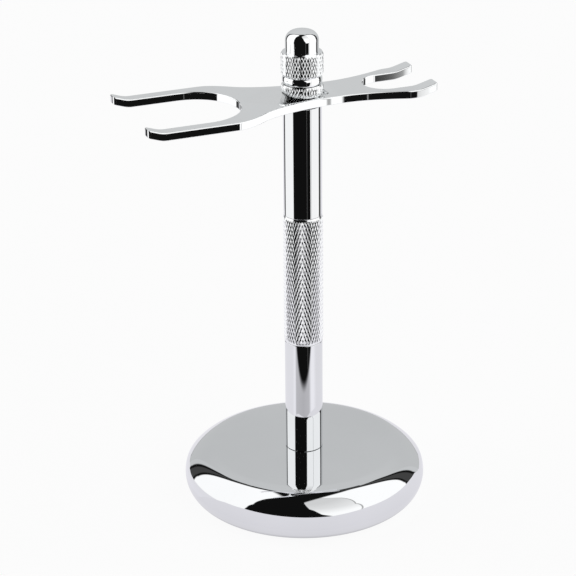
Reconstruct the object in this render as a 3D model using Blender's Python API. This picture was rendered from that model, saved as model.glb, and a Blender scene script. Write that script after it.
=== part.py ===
"""Chromed stand for a shaving brush and a safety razor, as separate pieces.

A weighted round foot carries a post in three screwed lengths: a plain lower
length, a knurled grip and a plain upper length. A flat fork plate swivels on
top of the post, with a wide fork for the brush towards -X and a narrow fork
for the razor towards +X. A knurled finial screws down on a stud, and a
knurled pressure collar that hangs captive under it clamps the plate.

Frame: the origin is the centre of the foot pad's underside, +Z is up.
Units: metres. Heights are named from the table upwards.
"""
import math

import bmesh
import bpy
from mathutils import Vector
from mathutils.geometry import interpolate_bezier

MM = 0.001

# ---- driving dimensions -------------------------------------------------
GAP = 0.3 * MM                  # between two pieces that touch

BASE_RADIUS = 40.0 * MM         # the foot's widest radius
BASE_CROWN = (40.0, 14.3 * MM)      # top edge curve: tilt it reaches, radius
BASE_SHOULDER = (70.0, 5.8 * MM)    # tighter turn after it
BASE_FLANK = (90.0, 9.9 * MM)       # easy curve down to the widest line
BASE_RIM_RADIUS = 33.8 * MM     # lower edge, where the round side tucks in
BASE_TOP_Z = 17.1 * MM
BASE_BOTTOM_Z = 0.8 * MM        # the pad stands this far out below the casting

PAD_RADIUS = 32.2 * MM
PAD_THICKNESS = 1.8 * MM

POST_RADIUS = 6.2 * MM
GRIP_RADIUS = 6.42 * MM         # over the knurl's crests
GRIP_BOTTOM_Z = 55.9 * MM
GRIP_TOP_Z = 100.1 * MM
GRIP_LEAD = 1.15 * MM           # cone at each end, from the post's radius to the knurl

PLATE_THICKNESS = 2.6 * MM
PLATE_TOP_Z = 141.0 * MM
PLATE_BOTTOM_Z = PLATE_TOP_Z - PLATE_THICKNESS

COLLAR_RADIUS = 6.65 * MM       # knurled bands of collar and finial
COLLAR_TOP_Z = 144.4 * MM
BEAD_TOP_Z = 147.2 * MM
BAND_TOP_Z = 154.6 * MM
DOME_RADIUS = 5.3 * MM
DOME_CROWN = (20.0, 9.5 * MM)   # shallow crown of the nose: tilt it reaches, radius
FINIAL_TOP_Z = 161.8 * MM

BRUSH_TIP_X = -57.4 * MM        # ends of the fork's tines
RAZOR_TIP_X = 41.4 * MM
BRUSH_HALF_WIDTH = 18.8 * MM    # outer edges of the tines
RAZOR_HALF_WIDTH = 12.2 * MM
BRUSH_SLOT_RADIUS = 14.85 * MM  # half the slot's width, and its round end
BRUSH_SLOT_END_X = -36.3 * MM   # centre of the round end
RAZOR_SLOT_RADIUS = 7.2 * MM
RAZOR_SLOT_END_X = 28.2 * MM

M6_RADIUS = 2.95 * MM
M5_RADIUS = 2.45 * MM
M6_HOLE_RADIUS = M6_RADIUS + GAP
M5_HOLE_RADIUS = M5_RADIUS + GAP

# ---- derived sizes inside the foot ---------------------------------------
PAD_RECESS_RADIUS = PAD_RADIUS + 0.4 * MM
LEDGE_Z = PAD_THICKNESS + GAP
CAVITY_RADIUS = 31.0 * MM
CAVITY_ROOF_Z = 12.0 * MM
BALLAST_RADIUS = CAVITY_RADIUS - GAP
BALLAST_TOP_Z = CAVITY_ROOF_Z - GAP
BALLAST_BOTTOM_Z = LEDGE_Z + GAP
BALLAST_WELL_RADIUS = 9.0 * MM  # holds the screw's head and washers
BALLAST_WELL_ROOF_Z = 9.6 * MM
FLAT_WASHER_Z = 7.9 * MM
LOCK_WASHER_Z = 6.2 * MM
WASHER_THICKNESS = 1.4 * MM
SCREW_SEAT_Z = LOCK_WASHER_Z - GAP
SCREW_HEAD_HEIGHT = 3.3 * MM
SCREW_LENGTH = 25.0 * MM

# ---- derived heights in the post and the fork's joint ----------------------
LOWER_POST_Z = (BASE_TOP_Z + GAP, GRIP_BOTTOM_Z - GAP)
UPPER_POST_Z = (GRIP_TOP_Z + GAP, 137.3 * MM)
JOINT_DEPTH = 9.6 * MM          # how far a joint stud goes into each length
TOP_STUD_Z = (124.0 * MM, 151.4 * MM)
BUSH_FLANGE_Z = UPPER_POST_Z[1] + GAP
BUSH_FLANGE_THICKNESS = 0.5 * MM
BUSH_FLANGE_RADIUS = 5.9 * MM
BUSH_RADIUS = 3.5 * MM
PLATE_HOLE_RADIUS = BUSH_RADIUS + 0.35 * MM
COLLAR_BOTTOM_Z = PLATE_TOP_Z + GAP
COLLAR_WEB_Z = 142.9 * MM
COLLAR_WELL_RADIUS = 5.6 * MM
INSERT_RADIUS = 4.0 * MM
INSERT_Z = (141.4 * MM, 151.9 * MM)
CLIP_Z = (142.1 * MM, 142.5 * MM)
FINIAL_BOTTOM_Z = COLLAR_TOP_Z + GAP

# ---- finishes: colour, roughness, metallic ----------------------------------
CHROME = ((0.78, 0.79, 0.80), 0.06, 1.0)
CHROME_KNURL = ((0.74, 0.75, 0.76), 0.16, 1.0)
STEEL = ((0.56, 0.57, 0.58), 0.32, 1.0)
IRON = ((0.16, 0.16, 0.165), 0.62, 0.9)
BRASS = ((0.72, 0.55, 0.26), 0.28, 1.0)
NYLON = ((0.82, 0.81, 0.77), 0.45, 0.0)
FOAM = ((0.035, 0.035, 0.037), 0.85, 0.0)


def clear_scene():
    """Remove whatever the file opened with."""
    for obj in list(bpy.data.objects):
        bpy.data.objects.remove(obj, do_unlink=True)


def finish_of(name, look):
    """A Principled material for one sub-part."""
    colour, roughness, metallic = look
    mat = bpy.data.materials.new(name + "_finish")
    mat.use_nodes = True
    shader = mat.node_tree.nodes["Principled BSDF"]
    shader.inputs["Base Color"].default_value = (*colour, 1.0)
    shader.inputs["Roughness"].default_value = roughness
    shader.inputs["Metallic"].default_value = metallic
    mat.diffuse_color = (*colour, 1.0)
    return mat


def add_object(name, bm, look, smooth_angle=35.0):
    """Turn a bmesh into a named, smooth-shaded object."""
    bmesh.ops.recalc_face_normals(bm, faces=bm.faces[:])
    mesh = bpy.data.meshes.new(name)
    bm.to_mesh(mesh)
    bm.free()
    mesh.shade_smooth()
    mesh.set_sharp_from_angle(angle=math.radians(smooth_angle))
    mesh.materials.append(finish_of(name, look))
    obj = bpy.data.objects.new(name, mesh)
    bpy.context.scene.collection.objects.link(obj)
    return obj


def arc(centre, radii, start, end, steps):
    """Points of an elliptical arc in the profile plane, angles in degrees from +r."""
    points = []
    for i in range(steps + 1):
        angle = math.radians(start + (end - start) * i / steps)
        points.append((centre[0] + radii[0] * math.cos(angle), centre[1] + radii[1] * math.sin(angle)))
    return points


def rounded_side(widest_radius, top, arcs, steps=4):
    """Profile from a flat top out to the widest line, as tangent arcs of (end tilt, radius)."""
    points = [(0.0, 0.0)]
    start = 0.0
    for end, size in arcs:
        reach, fall = points[-1]
        for i in range(1, steps + 1):
            angle = math.radians(start + (end - start) * i / steps)
            points.append((reach + size * (math.sin(angle) - math.sin(math.radians(start))),
                           fall - size * (math.cos(math.radians(start)) - math.cos(angle))))
        start = end
    inset = widest_radius - points[-1][0]
    return [(inset + r, top + z) for r, z in points]


def turned(name, profile, look, segments=48, bored=True, sweep=360.0):
    """A lathe-turned piece from (radius, height) points.

    A bored piece's profile is a closed loop away from the axis; a piece without a
    through hole has an open profile that starts and ends on the axis. A sweep
    under a full turn makes a split ring with flat ends.
    """
    bm = bmesh.new()
    verts = [bm.verts.new((r, 0.0, z)) for r, z in profile]
    edges = [bm.edges.new(pair) for pair in zip(verts, verts[1:])]
    if bored:
        edges.append(bm.edges.new((verts[-1], verts[0])))
    full_turn = sweep >= 360.0
    geom = verts + edges
    if not full_turn:
        geom.append(bm.faces.new(verts))
    bmesh.ops.spin(
        bm, geom=geom, cent=(0, 0, 0), axis=(0, 0, 1), angle=math.radians(sweep),
        steps=segments, use_merge=full_turn, use_normal_flip=False, use_duplicate=False)
    bmesh.ops.remove_doubles(bm, verts=bm.verts[:], dist=1e-7)
    return add_object(name, bm, look)


def chamfered(radius, low, high, chamfer):
    """Outer corners of a plain turned length, from bottom to top."""
    return [(radius - chamfer, low), (radius, low + chamfer),
            (radius, high - chamfer), (radius - chamfer, high)]


# ---- the foot ------------------------------------------------------------------

def make_foot_pad():
    edge = chamfered(PAD_RADIUS, 0.0, PAD_THICKNESS, 0.3 * MM)
    turned("foot_pad", [(0.0, 0.0)] + edge + [(0.0, PAD_THICKNESS)], FOAM, 64, bored=False)


def make_base_shell():
    """Die-cast foot: flat top, full round side, hollow underneath."""
    upper = rounded_side(BASE_RADIUS, BASE_TOP_Z, (BASE_CROWN, BASE_SHOULDER, BASE_FLANK))
    widest_z = upper[-1][1]
    lower = arc((BASE_RIM_RADIUS, widest_z),
                (BASE_RADIUS - BASE_RIM_RADIUS, widest_z - BASE_BOTTOM_Z), 0, -90, 8)
    inside = [(PAD_RECESS_RADIUS, BASE_BOTTOM_Z), (PAD_RECESS_RADIUS, LEDGE_Z),
              (CAVITY_RADIUS, LEDGE_Z), (CAVITY_RADIUS, CAVITY_ROOF_Z),
              (M6_HOLE_RADIUS, CAVITY_ROOF_Z), (M6_HOLE_RADIUS, BASE_TOP_Z)]
    turned("base_shell", upper + lower[1:] + inside, CHROME, 72)


def make_base_ballast():
    """Iron disc that weights the foot, with a well for the screw's head."""
    chamfer = 0.6 * MM
    profile = [(M6_HOLE_RADIUS, BALLAST_WELL_ROOF_Z), (BALLAST_WELL_RADIUS, BALLAST_WELL_ROOF_Z),
               (BALLAST_WELL_RADIUS, BALLAST_BOTTOM_Z)]
    profile += chamfered(BALLAST_RADIUS, BALLAST_BOTTOM_Z, BALLAST_TOP_Z, chamfer)
    profile += [(M6_HOLE_RADIUS, BALLAST_TOP_Z)]
    turned("base_ballast", profile, IRON, 56)


def make_base_screw():
    """M6 socket-head screw, entered from below the foot, with a hexagon socket."""
    head_z = SCREW_SEAT_Z - SCREW_HEAD_HEIGHT
    head_radius = 5.0 * MM
    tip_z = SCREW_SEAT_Z + SCREW_LENGTH
    chamfer = 0.5 * MM
    profile = [(0.0, head_z), (head_radius - chamfer, head_z), (head_radius, head_z + chamfer),
               (head_radius, SCREW_SEAT_Z), (M6_RADIUS, SCREW_SEAT_Z),
               (M6_RADIUS, tip_z - chamfer), (M6_RADIUS - chamfer, tip_z), (0.0, tip_z)]
    screw = turned("base_screw", profile, STEEL, 32, bored=False)
    socket_radius = 2.9 * MM
    socket_depth = 2.2 * MM
    bm = bmesh.new()
    bmesh.ops.create_cone(bm, cap_ends=True, segments=6, radius1=socket_radius,
                          radius2=socket_radius, depth=2 * socket_depth)
    cutter = add_object("socket_cutter", bm, STEEL)
    cutter.location = (0.0, 0.0, head_z)
    cutter.hide_render = True
    cutter.display_type = "WIRE"
    cut = screw.modifiers.new("hex_socket", "BOOLEAN")
    cut.operation = "DIFFERENCE"
    cut.object = cutter


def make_washers():
    """A flat washer against the ballast and a split spring washer under the head."""
    inner = M6_HOLE_RADIUS + 0.05 * MM
    for name, outer, low, sweep in (("flat_washer", 6.0 * MM, FLAT_WASHER_Z, 360.0),
                                    ("lock_washer", 5.3 * MM, LOCK_WASHER_Z, 348.0)):
        high = low + WASHER_THICKNESS
        profile = [(inner, low)] + chamfered(outer, low, high, 0.15 * MM) + [(inner, high)]
        turned(name, profile, STEEL, 32, sweep=sweep)


# ---- the post ------------------------------------------------------------------

def drilled_end(hole_radius, mouth_z, depth, upwards):
    """Profile of a blind drilled hole, from its tip on the axis to its mouth."""
    sign = 1.0 if upwards else -1.0
    wall_end = mouth_z + sign * depth
    tip = wall_end + sign * hole_radius * math.tan(math.radians(31.0))
    return [(0.0, tip), (hole_radius, wall_end), (hole_radius, mouth_z)]


def make_posts():
    """Lower and upper plain lengths, drilled and tapped at both ends."""
    ends = (("lower_post", LOWER_POST_Z, M6_HOLE_RADIUS, 15.0 * MM, M5_HOLE_RADIUS, JOINT_DEPTH),
            ("upper_post", UPPER_POST_Z, M5_HOLE_RADIUS, JOINT_DEPTH, M5_HOLE_RADIUS, 14.0 * MM))
    for name, (low, high), low_hole, low_depth, high_hole, high_depth in ends:
        profile = drilled_end(low_hole, low, low_depth, True)
        profile += chamfered(POST_RADIUS, low, high, 0.25 * MM)
        profile += reversed(drilled_end(high_hole, high, high_depth, False))
        turned(name, profile, CHROME, 48, bored=False)


def make_grip():
    """Knurled length, drilled through; the knurl's crests lie on this outline."""
    profile = [(M5_HOLE_RADIUS, GRIP_BOTTOM_Z), (POST_RADIUS, GRIP_BOTTOM_Z),
               (GRIP_RADIUS, GRIP_BOTTOM_Z + GRIP_LEAD), (GRIP_RADIUS, GRIP_TOP_Z - GRIP_LEAD),
               (POST_RADIUS, GRIP_TOP_Z), (M5_HOLE_RADIUS, GRIP_TOP_Z)]
    turned("knurled_grip", profile, CHROME_KNURL, 56)


def make_studs():
    """Headless M5 studs: two that join the post's lengths, one that carries the finial."""
    reach = JOINT_DEPTH - 0.4 * MM
    studs = (("joint_stud_lower", GRIP_BOTTOM_Z - reach, GRIP_BOTTOM_Z + reach),
             ("joint_stud_upper", GRIP_TOP_Z - reach, GRIP_TOP_Z + reach),
             ("top_stud", *TOP_STUD_Z))
    for name, low, high in studs:
        edge = chamfered(M5_RADIUS, low, high, 0.5 * MM)
        turned(name, [(0.0, low)] + edge + [(0.0, high)], STEEL, 24, bored=False)


# ---- the fork plate ----------------------------------------------------------------

def tine_lift(x):
    """How far a tine's end is bent up at x: a short round bend, then a straight lip."""
    if x < 0:
        start, slope = -51.2 * MM, 0.33
    else:
        start, slope = 34.0 * MM, 0.27
    bend_length = 3.0 * MM
    past = (x - start) * (1.0 if x > 0 else -1.0)
    if past <= 0.0:
        return 0.0
    if past < bend_length:
        return slope * past * past / (2.0 * bend_length)
    return slope * (past - bend_length / 2.0)


def rounded_corner(corner, before, after, radius, steps=3):
    """Replace a right-angled corner by a quarter circle; both directions are unit vectors."""
    centre = corner + (before + after) * radius
    points = []
    for i in range(steps + 1):
        angle = math.pi / 2 * i / steps
        points.append(centre - after * radius * math.cos(angle) - before * radius * math.sin(angle))
    return points


def flank_points():
    """The outer edge on the +Y side, from the brush tine's flank to the razor tine's flank."""
    knots = (  # point, handle before, handle after, all in millimetres
        ((-28.5, 18.8), (-31.0, 18.8), (-23.4, 18.8)),
        ((-16.0, 13.1), (-19.5, 14.95), (-9.5, 9.7)),
        ((12.0, 7.65), (1.0, 7.65), (19.0, 7.65)),
        ((31.0, 11.75), (26.8, 10.2), (32.1, 12.15)),
        ((34.3, 12.2), (33.2, 12.2), (36.0, 12.2)))
    steps = (9, 10, 9, 4)
    points = []
    for (start, _, leave), (end, arrive, _), count in zip(knots, knots[1:], steps):
        curve = interpolate_bezier(*[Vector((*p, 0.0)) * MM for p in (start, leave, arrive, end)], count)
        points += curve[:-1] if end != knots[-1][0] else curve
    return points


def slot_points(centre_x, radius, towards, steps):
    """Half of a slot's round end, from its straight +Y wall to the long axis."""
    points = []
    for i in range(steps + 1):
        angle = math.pi / 2 * (1.0 - i / steps)
        points.append(Vector((centre_x + towards * radius * math.cos(angle), radius * math.sin(angle), 0.0)))
    return points


def half_outline():
    """The plate's edge on the +Y side, from the brush slot's bottom to the razor slot's bottom."""
    tip_radius = 0.9 * MM
    right, left = Vector((1, 0, 0)), Vector((-1, 0, 0))
    up, down = Vector((0, 1, 0)), Vector((0, -1, 0))
    points = list(reversed(slot_points(BRUSH_SLOT_END_X, BRUSH_SLOT_RADIUS, 1.0, 12)))
    points += rounded_corner(Vector((BRUSH_TIP_X, BRUSH_SLOT_RADIUS, 0)), right, up, tip_radius)
    points += rounded_corner(Vector((BRUSH_TIP_X, BRUSH_HALF_WIDTH, 0)), down, right, tip_radius)
    points += flank_points()
    points += rounded_corner(Vector((RAZOR_TIP_X, RAZOR_HALF_WIDTH, 0)), left, down, tip_radius)
    points += rounded_corner(Vector((RAZOR_TIP_X, RAZOR_SLOT_RADIUS, 0)), up, left, tip_radius)
    points += slot_points(RAZOR_SLOT_END_X, RAZOR_SLOT_RADIUS, -1.0, 9)
    return points


def plate_outline():
    """The whole closed edge: the +Y half and its mirror image."""
    half = half_outline()
    return half + [Vector((p.x, -p.y, 0.0)) for p in reversed(half[1:-1])]


def lip_stations():
    """Where the tines are cut across, so that their ends can bend."""
    brush = [-51.2 - 0.75 * i for i in range(5)] + [-55.2, -56.4]
    razor = [34.0 + 0.75 * i for i in range(5)] + [38.4, 39.8]
    return [x * MM for x in brush + razor]


def is_rim(edge):
    """True for an edge between a flat face and the plate's upright side."""
    tilts = sorted(abs(face.normal.z) for face in edge.link_faces)
    return tilts[0] < 0.5 and tilts[-1] > 0.9


def make_fork_plate():
    """Flat plate with a wide and a narrow fork, eased edges and bent-up tine ends."""
    bm = bmesh.new()
    bm.faces.new([bm.verts.new(p) for p in plate_outline()])
    for x in lip_stations():
        bmesh.ops.bisect_plane(bm, geom=bm.verts[:] + bm.edges[:] + bm.faces[:],
                               plane_co=(x, 0, 0), plane_no=(1, 0, 0), dist=1e-7)
    grown = bmesh.ops.extrude_face_region(bm, geom=bm.faces[:])
    raised = [v for v in grown["geom"] if isinstance(v, bmesh.types.BMVert)]
    bmesh.ops.translate(bm, verts=raised, vec=(0, 0, PLATE_THICKNESS))
    bmesh.ops.recalc_face_normals(bm, faces=bm.faces[:])
    rims = [edge for edge in bm.edges if is_rim(edge)]
    bmesh.ops.bevel(bm, geom=rims, offset=0.32 * MM, offset_type="OFFSET", segments=1,
                    affect="EDGES", clamp_overlap=True)
    for v in bm.verts:
        v.co.z += tine_lift(v.co.x)
    plate = add_object("fork_plate", bm, CHROME, 30.0)
    plate.location = (0.0, 0.0, PLATE_BOTTOM_Z)
    bm = bmesh.new()
    bmesh.ops.create_cone(bm, cap_ends=True, segments=32, radius1=PLATE_HOLE_RADIUS,
                          radius2=PLATE_HOLE_RADIUS, depth=4 * PLATE_THICKNESS)
    cutter = add_object("swivel_hole_cutter", bm, STEEL)
    cutter.location = (0.0, 0.0, PLATE_BOTTOM_Z)
    cutter.hide_render = True
    cutter.display_type = "WIRE"
    cut = plate.modifiers.new("swivel_hole", "BOOLEAN")
    cut.operation = "DIFFERENCE"
    cut.object = cutter


def make_fork_bush():
    """Nylon shoulder bush: its flange carries the plate, its sleeve centres it."""
    flange_top = BUSH_FLANGE_Z + BUSH_FLANGE_THICKNESS
    sleeve_top = PLATE_TOP_Z - 0.2 * MM
    profile = [(M5_HOLE_RADIUS, BUSH_FLANGE_Z), (BUSH_FLANGE_RADIUS, BUSH_FLANGE_Z),
               (BUSH_FLANGE_RADIUS, flange_top), (BUSH_RADIUS, flange_top),
               (BUSH_RADIUS, sleeve_top), (M5_HOLE_RADIUS, sleeve_top)]
    turned("fork_bush", profile, NYLON, 32)


# ---- the clamp: collar, clip, insert and finial ---------------------------------------

def make_pressure_collar():
    """Knurled ring that presses on the plate without turning against it."""
    bore = INSERT_RADIUS + GAP
    profile = [(bore, COLLAR_WEB_Z), (COLLAR_WELL_RADIUS, COLLAR_WEB_Z),
               (COLLAR_WELL_RADIUS, COLLAR_BOTTOM_Z)]
    profile += chamfered(COLLAR_RADIUS, COLLAR_BOTTOM_Z, COLLAR_TOP_Z, 0.3 * MM)
    profile += [(bore, COLLAR_TOP_Z)]
    turned("pressure_collar", profile, CHROME_KNURL, 48)


def make_finial_insert():
    """Brass M5 insert pressed into the finial; its end carries the collar and a clip groove."""
    low, high = INSERT_Z
    groove_radius = INSERT_RADIUS - 0.85 * MM
    groove_low = CLIP_Z[0] - 0.25 * MM
    groove_high = CLIP_Z[1] + 0.25 * MM
    profile = [(M5_HOLE_RADIUS, low), (INSERT_RADIUS, low), (INSERT_RADIUS, groove_low),
               (groove_radius, groove_low), (groove_radius, groove_high),
               (INSERT_RADIUS, groove_high), (INSERT_RADIUS, high), (M5_HOLE_RADIUS, high)]
    turned("finial_insert", profile, BRASS, 32)


def make_collar_clip():
    """Open spring clip in the insert's groove; it keeps the collar on the finial."""
    inner = INSERT_RADIUS - 0.55 * MM
    outer = INSERT_RADIUS + 1.2 * MM
    low, high = CLIP_Z
    turned("collar_clip", [(inner, low), (outer, low), (outer, high), (inner, high)],
           STEEL, 28, sweep=300.0)


def make_finial():
    """Bead, knurled band and round nose, with a blind bore for the insert."""
    bore = INSERT_RADIUS + GAP
    bore_top = INSERT_Z[1] + GAP
    neck = 5.75 * MM
    bead_radius = 6.35 * MM
    bead_mid = (FINIAL_BOTTOM_Z + BEAD_TOP_Z) / 2 - 0.05 * MM
    bead_half = 1.05 * MM
    profile = [(0.0, bore_top), (bore, bore_top), (bore, FINIAL_BOTTOM_Z), (neck, FINIAL_BOTTOM_Z)]
    profile += arc((neck, bead_mid), (bead_radius - neck, bead_half), -90, 90, 6)
    profile += [(neck, BEAD_TOP_Z)]
    profile += chamfered(COLLAR_RADIUS, BEAD_TOP_Z, BAND_TOP_Z, 0.35 * MM)
    profile += [(DOME_RADIUS, BAND_TOP_Z)]
    lean = math.sin(math.radians(DOME_CROWN[0]))
    shoulder = (DOME_RADIUS - DOME_CROWN[1] * lean) / (1.0 - lean)
    nose = rounded_side(DOME_RADIUS, FINIAL_TOP_Z, (DOME_CROWN, (90.0, shoulder)), 6)
    profile += nose[:0:-1] + [(0.0, FINIAL_TOP_Z)]
    turned("finial", profile, CHROME, 48, bored=False)


def main():
    clear_scene()
    make_foot_pad()
    make_base_shell()
    make_base_ballast()
    make_base_screw()
    make_washers()
    make_posts()
    make_grip()
    make_studs()
    make_fork_bush()
    make_fork_plate()
    make_pressure_collar()
    make_finial_insert()
    make_collar_clip()
    make_finial()


main()
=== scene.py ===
import math

import bpy
import numpy as np
from mathutils import Euler, Matrix, Vector
from mathutils.geometry import delaunay_2d_cdt, interpolate_bezier


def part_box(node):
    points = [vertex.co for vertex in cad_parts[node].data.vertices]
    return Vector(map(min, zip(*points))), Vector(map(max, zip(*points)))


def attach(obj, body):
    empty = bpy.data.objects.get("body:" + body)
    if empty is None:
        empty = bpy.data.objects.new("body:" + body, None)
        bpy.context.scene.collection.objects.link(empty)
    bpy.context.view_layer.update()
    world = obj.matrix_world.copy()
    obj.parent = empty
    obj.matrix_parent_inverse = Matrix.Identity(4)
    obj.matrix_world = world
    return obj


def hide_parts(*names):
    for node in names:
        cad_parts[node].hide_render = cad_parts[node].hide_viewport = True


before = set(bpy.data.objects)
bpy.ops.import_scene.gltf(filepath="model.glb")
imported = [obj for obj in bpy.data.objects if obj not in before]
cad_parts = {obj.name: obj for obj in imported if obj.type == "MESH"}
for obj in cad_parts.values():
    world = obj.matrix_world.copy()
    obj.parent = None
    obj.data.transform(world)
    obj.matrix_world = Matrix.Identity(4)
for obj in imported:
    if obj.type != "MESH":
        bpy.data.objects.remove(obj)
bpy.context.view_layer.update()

MM = 0.001
SEAM = 0.06 * MM                # visible line where two pieces meet

# ---- places, read from the frame -------------------------------------------------------
BASE_LOW, BASE_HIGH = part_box("base_shell")
PLATE_LOW, PLATE_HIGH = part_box("fork_plate")
GRIP_LOW, GRIP_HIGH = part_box("knurled_grip")
UPPER_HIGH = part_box("upper_post")[1]
COLLAR_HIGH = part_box("pressure_collar")[1]
FINIAL_LOW, FINIAL_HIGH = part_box("finial")

# ---- the turned pieces' own sizes --------------------------------------------------
BASE_ARCS = ((25.0, 9.5 * MM), (45.0, 16.0 * MM), (60.0, 7.0 * MM), (75.0, 4.0 * MM),
             (90.0, 10.0 * MM))             # each arc's end tilt in degrees, and its radius
BASE_RIM_RADIUS = 33.8 * MM
PLATE_THICKNESS = 2.6 * MM
PLATE_TOP_Z = 141.0 * MM
DOME_RADIUS = 5.3 * MM
DOME_CROWN = (20.0, 9.5 * MM)
BAND_TOP_Z = 154.6 * MM
BEAD_TOP_Z = 147.2 * MM
STUD_HOLE_RADIUS = 2.75 * MM
SCREW_HOLE_RADIUS = 3.25 * MM
GRIP_LEAD = 1.15 * MM           # cone at each end of the grip
SLIGHT_TURN = math.radians(14.0)    # corners that turn less stay as they are

# ---- the diamond knurl ----------------------------------------------------------------
KNURL_PITCH = 0.985 * MM        # round the piece, crest to crest
KNURL_RISE = 2.85 * MM          # along the axis, crest to crest
GRIP_KNURL_DEPTH = 0.145 * MM
BAND_KNURL_DEPTH = 0.10 * MM    # on the collar and the finial

# ---- the camera: place, aim point, roll and lens ----------------------------------------
CAMERA_PLACE = Vector((-0.26152, -0.64364, 0.37654))
CAMERA_AIM = Vector((-0.00465, 0.00184, 0.07405))
CAMERA_ROLL_DEG = 0.49
CAMERA_LENS_MM = 145.35
VIEW_AZIMUTH_DEG = -22.1

# ---- the studio round the stand: edges as (elevation, azimuth from the opening) in degrees ----
LEFT_INNER = ((10, -57), (30, -59), (49, -64), (63, -73), (73, -82), (79, -105))
LEFT_OUTER = ((5, -124.5), (36, -130), (62, -135), (70, -139))
LEFT_FAR = ((5, -140.5), (50, -141), (62, -148), (70, -152))
RIGHT_INNER = ((5, 25.5), (26, 17.5), (53, 11.5), (77, -1))
RIGHT_SEAM = ((10, 53), (52, 66), (70, 82))
RIGHT_OUTER = ((10, 111), (33, 120), (56, 126.5), (68, 130))
RIGHT_FAR = ((10, 131), (43, 135), (55, 138), (67, 147))
PANEL_LOW, PANEL_HIGH = 1.08, 1.17       # brightness below and above the horizon
GAP_GREY, OPENING_GREY = 0.055, 0.006    # walls in the gaps, and the dark opening
CARD_DISTANCE, CARD_HEIGHT = 0.4, 0.7
CARD_ENDS = (-140.5, 132.0)
# the grey at the card's foot is painted shade where the card meets the paper
CARD_FOOT_SHADE, CARD_MIDDLE, CARD_HIGH = 0.36, 0.60, 0.64    # its grey from the foot upwards
SHEET_FRONT, SHEET_SIDE = 0.0965, 0.2
FLOOR_RADIUS, BACKDROP_RADIUS = 6.0, 8.0
KERB_RADIUS = 43.5 * MM
KERB_HEIGHTS = ((-75, 0.5), (-60, 8), (-45, 11.9), (-32, 12.4), (-18, 11.9), (0, 11.3),
                (14, 11.1), (32, 12.6), (71, 14.1), (80, 13.8), (92, 8),
                (105, 0.5))              # bearing, height in mm


# =========================================================================================
# Materials
# =========================================================================================

class Nodes:
    """Small helper that adds and links shader nodes."""

    def __init__(self, tree):
        self.tree = tree
        tree.nodes.clear()

    def add(self, kind, **settings):
        node = self.tree.nodes.new(kind)
        for name, value in settings.items():
            setattr(node, name, value)
        return node

    def link(self, source, target):
        self.tree.links.new(source, target)

    def value_into(self, socket, value):
        if hasattr(value, "links"):
            self.link(value, socket)
        else:
            socket.default_value = value

    def math(self, operation, *values):
        node = self.add("ShaderNodeMath", operation=operation)
        for socket, value in zip(node.inputs, values):
            self.value_into(socket, value)
        return node.outputs[0]

    def noise(self, coords, scale, detail=3.0, roughness=0.5):
        node = self.add("ShaderNodeTexNoise")
        self.link(coords, node.inputs["Vector"])
        node.inputs["Scale"].default_value = scale
        node.inputs["Detail"].default_value = detail
        node.inputs["Roughness"].default_value = roughness
        return node.outputs["Fac"]

    def ramp(self, factor, stops):
        """stops: (position, (r, g, b)) pairs."""
        node = self.add("ShaderNodeValToRGB")
        elements = node.color_ramp.elements
        while len(elements) < len(stops):
            elements.new(0.5)
        for element, (position, colour) in zip(elements, stops):
            element.position = position
            element.color = (*colour, 1.0)
        self.link(factor, node.inputs["Fac"])
        return node.outputs["Color"]

    def remap(self, value, low, high, new_low, new_high, smooth=False):
        node = self.add("ShaderNodeMapRange")
        if smooth:
            node.interpolation_type = "SMOOTHSTEP"
        for name, number in (("From Min", low), ("From Max", high),
                             ("To Min", new_low), ("To Max", new_high)):
            self.value_into(node.inputs[name], number)
        self.link(value, node.inputs["Value"])
        return node.outputs["Result"]


def surface(name, metallic, dark, light, rough, scale, bump=(0.0, 0.0), fine=None,
            rough_scale=None):
    """A Principled material whose colour, roughness and height vary over the surface.

    dark and light are the two colours that a noise of this scale (per metre) mixes, rough
    is the roughness range, bump is (strength, height in metres), fine adds a second, finer
    bump as (scale, strength).
    """
    mat = bpy.data.materials.new(name)
    mat.use_nodes = True
    n = Nodes(mat.node_tree)
    out = n.add("ShaderNodeOutputMaterial")
    shader = n.add("ShaderNodeBsdfPrincipled")
    n.link(shader.outputs["BSDF"], out.inputs["Surface"])
    shader.inputs["Metallic"].default_value = metallic
    coords = n.add("ShaderNodeTexCoord").outputs["Object"]
    blotch = n.noise(coords, scale, 4.0, 0.55)
    n.link(n.ramp(blotch, ((0.3, dark), (0.7, light))), shader.inputs["Base Color"])
    polish = n.noise(coords, rough_scale or scale * 3.3, 3.0, 0.6)
    n.link(n.remap(polish, 0.3, 0.7, *rough), shader.inputs["Roughness"])
    if bump[0] > 0.0:
        height = n.noise(coords, scale * 1.7, 2.0, 0.5)
        node = n.add("ShaderNodeBump")
        node.inputs["Strength"].default_value = bump[0]
        node.inputs["Distance"].default_value = bump[1]
        n.link(height, node.inputs["Height"])
        normal = node.outputs["Normal"]
        if fine:
            grain = n.add("ShaderNodeBump")
            grain.inputs["Strength"].default_value = fine[1]
            grain.inputs["Distance"].default_value = bump[1]
            n.link(n.noise(coords, fine[0], 4.0, 0.65), grain.inputs["Height"])
            n.link(normal, grain.inputs["Normal"])
            normal = grain.outputs["Normal"]
        n.link(normal, shader.inputs["Normal"])
    return mat


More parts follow.
